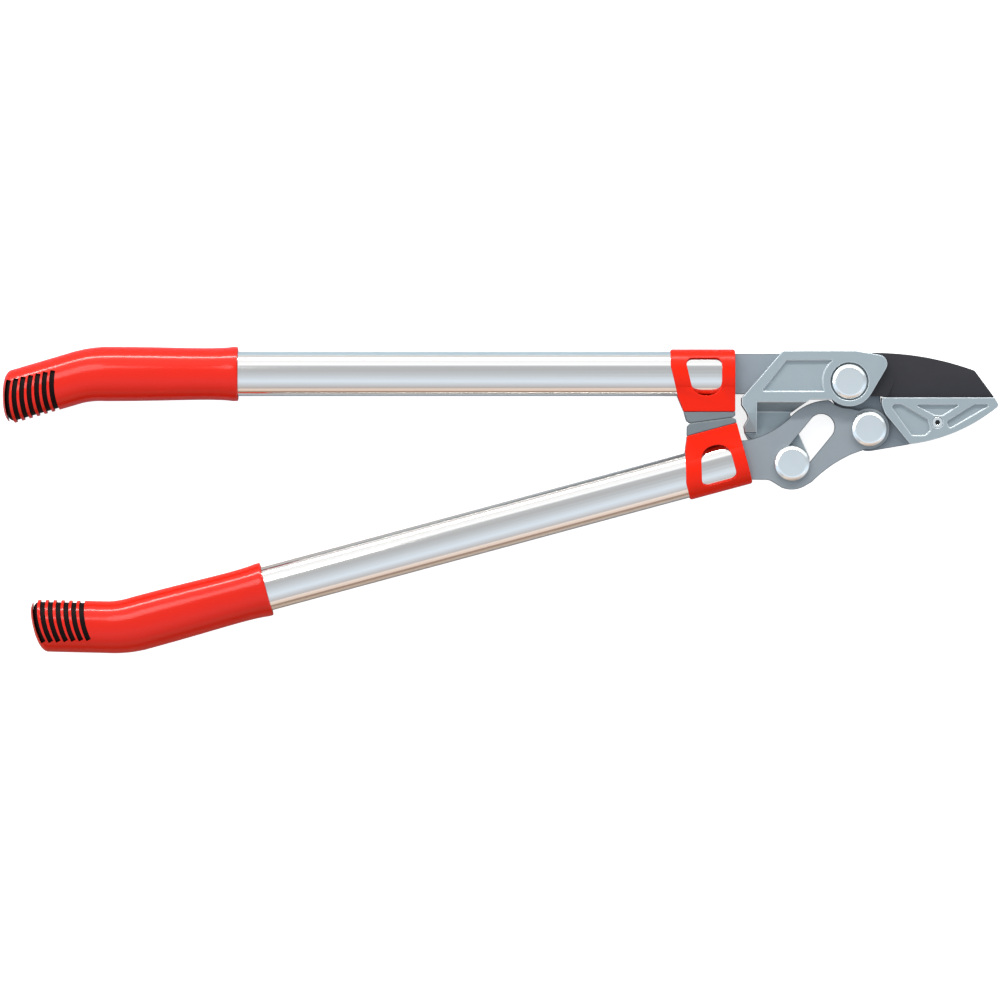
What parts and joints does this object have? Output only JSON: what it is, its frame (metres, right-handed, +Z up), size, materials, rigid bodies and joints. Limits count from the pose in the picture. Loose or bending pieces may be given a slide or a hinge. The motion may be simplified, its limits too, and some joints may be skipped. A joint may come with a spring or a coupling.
{
  "type": "anvil lopper",
  "caption": "Two-handed anvil lopper with oval tube handles, a slotted power lever, and a coated blade that closes on a flat anvil; modelled closed, opens on coupled pivots.",
  "frame": {"origin": "on the main pivot's axis, in the plane that the tool rests on when it lies flat", "axes": "+X along the upper handle towards the blade's tip, +Y across the handles towards the blade's spine side, +Z up, out of the front that shows the pin heads"},
  "size_m": [0.6502, 0.2004, 0.027],
  "materials": {
    "plate_steel": "fine satin grey coat on stamped steel plate",
    "cast_alloy": "fine-grained light grey die casting with softly rounded edges",
    "blade_coating": "matt black non-stick coating on a hardened steel blade",
    "plated_steel": "bright zinc plate with a fine satin",
    "tube_alloy": "satin anodised aluminium, drawn along its length",
    "nylon": "natural nylon",
    "red_plastic": "glossy moulded red plastic",
    "black_plastic": "matt black plastic",
    "pad_rubber": "grey rubber"
  },
  "bodies": {
    "upper_handle": {"anvil_arm": "plate_steel", "anvil": "cast_alloy", "anvil_screw": "plated_steel", "anvil_nut": "plated_steel", "main_pivot_bolt": "plated_steel", "lever_pivot_bolt": "plated_steel", "pivot_washers": "plated_steel", "pivot_nuts": "plated_steel", "upper_tube": "tube_alloy", "upper_tang_insert": "nylon", "upper_tang_pins": "plated_steel", "upper_collar": "red_plastic", "upper_pad": "pad_rubber", "upper_grip": "red_plastic", "upper_grip_core": "black_plastic"},
    "lower_handle": {"lever_plate": "plate_steel", "lever_bush": "plated_steel", "lower_tube": "tube_alloy", "lower_tang_insert": "nylon", "lower_tang_pins": "plated_steel", "lower_collar": "red_plastic", "lower_pad": "pad_rubber", "lower_grip": "red_plastic", "lower_grip_core": "black_plastic"},
    "blade_set": {"blade": "blade_coating", "blade_carrier": "cast_alloy", "blade_screws": "plated_steel", "main_pivot_bush": "plated_steel", "drive_pin": "plated_steel", "drive_pin_washer": "plated_steel", "drive_pin_nut": "plated_steel"}
  },
  "joints": [
    {"name": "lever_pivot", "type": "hinge", "parent": "upper_handle", "child": "lower_handle", "pos_m": [0.0132, -0.0308, 0.0135], "axis": [0, 0, 1], "range_deg": [0, 75]},
    {"name": "blade_pivot", "type": "hinge", "parent": "upper_handle", "child": "blade_set", "pos_m": [0, 0, 0.0135], "axis": [0, 0, 1], "range_deg": [0, 44]}
  ],
  "couplings": [
    {"joint": "blade_pivot", "follows": "lever_pivot", "ratio": 0.58}
  ]
}
